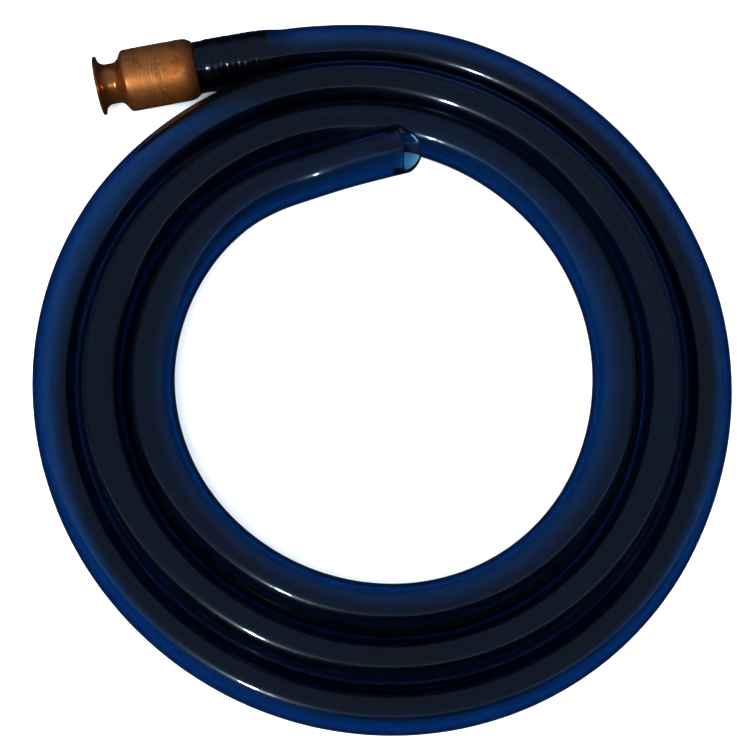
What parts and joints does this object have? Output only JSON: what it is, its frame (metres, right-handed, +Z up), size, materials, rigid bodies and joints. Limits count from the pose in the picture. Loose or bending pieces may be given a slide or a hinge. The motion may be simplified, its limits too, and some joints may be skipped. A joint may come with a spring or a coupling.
{
  "type": "self-priming siphon hose",
  "caption": "Copper foot valve with a loose ball inside, fixed in a long translucent blue hose that lies in a flat coil; shaking the foot starts the siphon.",
  "frame": {"origin": "under the middle of the foot valve and its tail, on the surface that it lies on", "axes": "+X along the valve from its foot towards the hose, +Z up; the hose's coil lies on the -Y side"},
  "size_m": [0.24, 0.255, 0.0398],
  "materials": {
    "copper": "drawn copper, satin with fine scratches round the barrel",
    "copper_tube": "drawn copper tube, satin",
    "brass": "bright drawn wire",
    "ball_glass": "polished clear glass",
    "hose_vinyl": "clear flexible vinyl, deeply tinted blue, glossy"
  },
  "bodies": {
    "siphon": {"valve_body": "copper", "hose_tail": "copper_tube", "stop_pin": "brass", "hose_lead": "hose_vinyl", "hose_coil": "hose_vinyl", "hose_end": "hose_vinyl"},
    "ball": {"check_ball": "ball_glass"}
  },
  "joints": [
    {"name": "ball_slide", "type": "slide", "parent": "siphon", "child": "ball", "axis": [1, 0, 0], "range_m": [0, 0.0072]}
  ]
}
